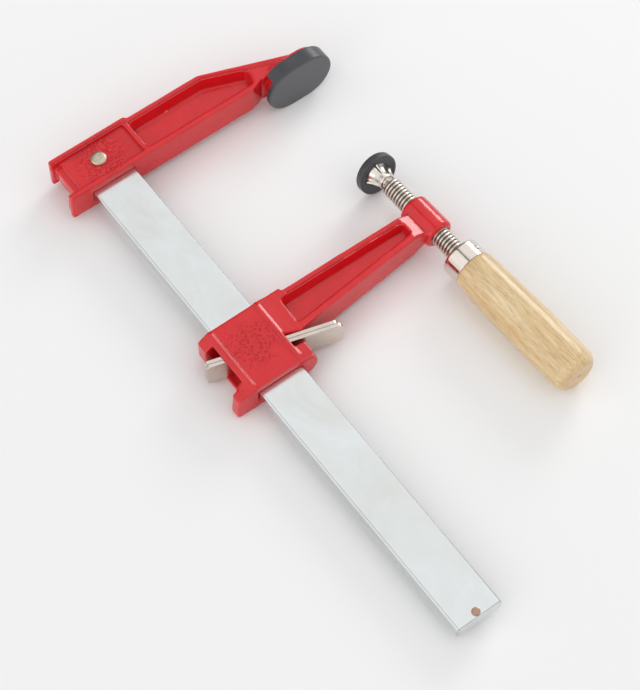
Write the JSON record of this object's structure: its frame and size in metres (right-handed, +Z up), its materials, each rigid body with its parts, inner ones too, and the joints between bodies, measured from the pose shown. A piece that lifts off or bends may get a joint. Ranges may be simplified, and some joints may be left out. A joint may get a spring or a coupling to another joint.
{
  "type": "deep-throat bar clamp",
  "caption": "Deep-throat bar clamp: fixed jaw on a flat bar, sliding jaw with tilting clutch plates, screw spindle with wooden handle and swivel pad.",
  "frame": {"origin": "centre of the fixed jaw's pad face", "axes": "+X along the bar from the fixed jaw to the bar's free end, which is the clamping direction; +Y along the jaws, away from the bar; +Z up, across the bar's thickness, as the clamp lies in the picture"},
  "size_m": [0.447, 0.2205, 0.041],
  "materials": {
    "red_enamel": "glossy enamel over a sand-cast surface",
    "zinc_plate": "bright zinc plating, faintly mottled",
    "copper_pin": "copper-coloured plating",
    "rivet_nickel": "warm nickel plating, semi-bright",
    "plate_nickel": "warm nickel plating, sheared edges",
    "spindle_nickel": "nickel-plated rolled thread",
    "ferrule_nickel": "bright nickel plating",
    "shell_nickel": "nickel-plated pressed sheet",
    "spring_steel": "dark oiled spring wire",
    "pad_plastic": "charcoal moulded plastic, satin",
    "handle_wood": "turned pale ash, thin satin varnish"
  },
  "bodies": {
    "frame": {"bar": "zinc_plate", "bar_stop_pin": "copper_pin", "fixed_jaw": "red_enamel", "fixed_jaw_rivet": "rivet_nickel", "fixed_jaw_pad": "pad_plastic"},
    "slider": {"sliding_jaw": "red_enamel", "clutch_spring": "spring_steel"},
    "clutch": {"clutch_plate_front": "plate_nickel", "clutch_plate_rear": "plate_nickel"},
    "feed_carrier": {"spindle_ball": "spindle_nickel"},
    "spindle": {"spindle_screw": "spindle_nickel", "ferrule": "ferrule_nickel", "handle": "handle_wood"},
    "swivel_pad": {"swivel_pad_shell": "shell_nickel", "swivel_pad_cap": "pad_plastic"}
  },
  "joints": [
    {"name": "jaw_slide", "type": "slide", "parent": "frame", "child": "slider", "axis": [1, 0, 0], "range_m": [-0.068, 0.205]},
    {"name": "clutch_release", "type": "hinge", "parent": "slider", "child": "clutch", "pos_m": [0.16965, -0.1245, 0], "axis": [0, 0, 1], "range_deg": [0, 12], "stiffness_Nm_per_rad": 0.3, "springref_deg": -22.92, "deforming": ["clutch_spring"]},
    {"name": "screw_turn", "type": "hinge", "parent": "feed_carrier", "child": "spindle", "pos_m": [0.1474, -0.00015, 0], "axis": [0.9989, 0.0464, 0], "range_deg": [-2160, 2700]},
    {"name": "screw_feed", "type": "slide", "parent": "slider", "child": "feed_carrier", "axis": [0.9989, 0.0464, 0], "range_m": [-0.0162, 0.02025]},
    {"name": "pad_swivel", "type": "hinge", "parent": "feed_carrier", "child": "swivel_pad", "pos_m": [0.10305, -0.00221, 0], "axis": [-0.0464, 0.9989, 0], "range_deg": [0, 25]}
  ],
  "couplings": [
    {"joint": "screw_feed", "follows": "screw_turn", "m_per_rad": 0.00042972}
  ]
}
